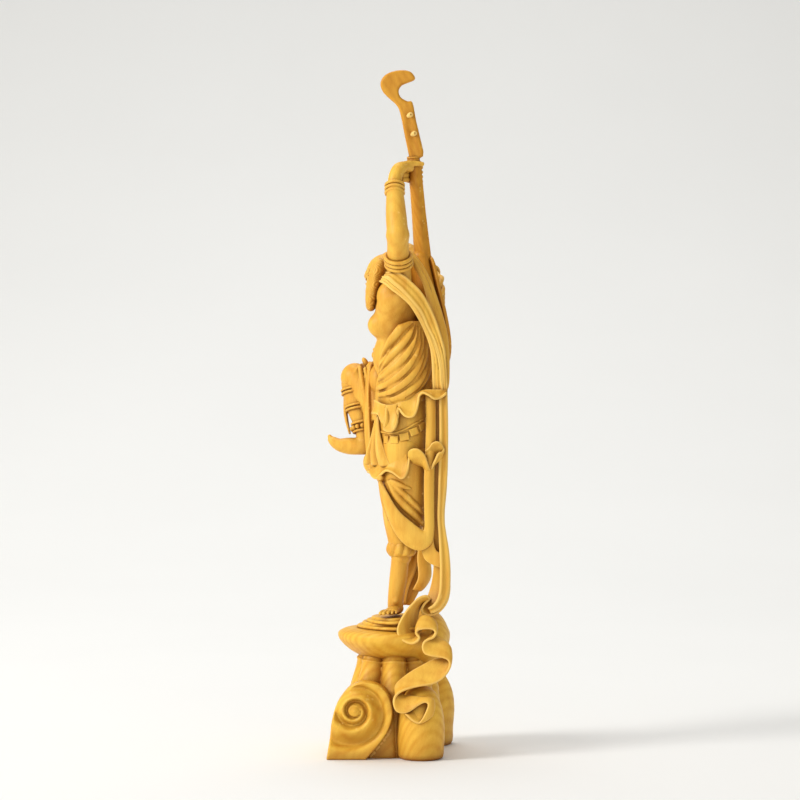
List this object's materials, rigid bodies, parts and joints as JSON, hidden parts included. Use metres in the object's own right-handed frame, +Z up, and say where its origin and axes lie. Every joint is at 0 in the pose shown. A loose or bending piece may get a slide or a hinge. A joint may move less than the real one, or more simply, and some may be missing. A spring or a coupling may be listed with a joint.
{
  "type": "carved wooden figurine",
  "caption": "Slender carved boxwood figurine of a dancing musician on a cloud base, one knee raised, playing a lute held upright behind the back.",
  "frame": {"origin": "middle of the base's underside, where the carving rests on a surface", "axes": "+Z up along the figure; the figure faces -Y, and +X is the figure's own left side"},
  "size_m": [0.0712, 0.0566, 0.2984],
  "materials": {
    "figure_wood": "satin waxed boxwood, honey yellow",
    "base_wood": "satin waxed boxwood, honey yellow with growth rings",
    "pipa_wood": "satin waxed boxwood, slightly darker",
    "peg_wood": "pale boxwood, freshly cut"
  },
  "bodies": {
    "root": {"ripple_step_upper": "base_wood", "ripple_step_lower": "base_wood", "cloud_platform": "base_wood", "cloud_scroll_left": "base_wood", "cloud_scroll_right": "base_wood", "cloud_pillar_left": "base_wood", "cloud_pillar_right": "base_wood", "base_column": "base_wood", "pipa_peg_1": "peg_wood", "pipa_peg_2": "peg_wood", "pipa_peg_3": "peg_wood", "pipa_peg_4": "peg_wood", "pipa_peg_box": "pipa_wood", "pipa_bridge": "pipa_wood", "pipa_soundboard": "pipa_wood", "pipa_body": "pipa_wood", "pipa_neck": "pipa_wood", "pelvis": "figure_wood", "left_thigh": "figure_wood", "left_shin": "figure_wood", "left_foot": "figure_wood", "right_thigh": "figure_wood", "right_shin": "figure_wood", "right_foot": "figure_wood", "left_cuff": "figure_wood", "right_leg_band_upper": "figure_wood", "right_leg_band_lower": "figure_wood", "right_anklet": "figure_wood", "head_band": "figure_wood", "head": "figure_wood", "neck": "figure_wood", "necklace": "figure_wood", "torso": "figure_wood", "hair_bun": "figure_wood", "left_upper_arm": "figure_wood", "left_forearm": "figure_wood", "left_hand": "figure_wood", "left_armlet": "figure_wood", "left_wristlet": "figure_wood", "right_upper_arm": "figure_wood", "right_forearm": "figure_wood", "right_hand": "figure_wood", "right_armlet": "figure_wood", "right_wristlet": "figure_wood", "waist_drape": "figure_wood", "front_sash": "figure_wood", "skirt_pouch_right": "figure_wood", "upper_ruffle": "figure_wood", "bead_belt": "figure_wood", "lower_ruffle": "figure_wood", "scarf_left_shoulder": "figure_wood", "scarf_left_back": "figure_wood", "scarf_left_fall": "figure_wood", "scarf_left_loop": "figure_wood", "scarf_left_tail": "figure_wood", "scarf_right_shoulder": "figure_wood", "scarf_right_fall": "figure_wood", "scarf_right_tail": "figure_wood"}
  },
  "joints": []
}
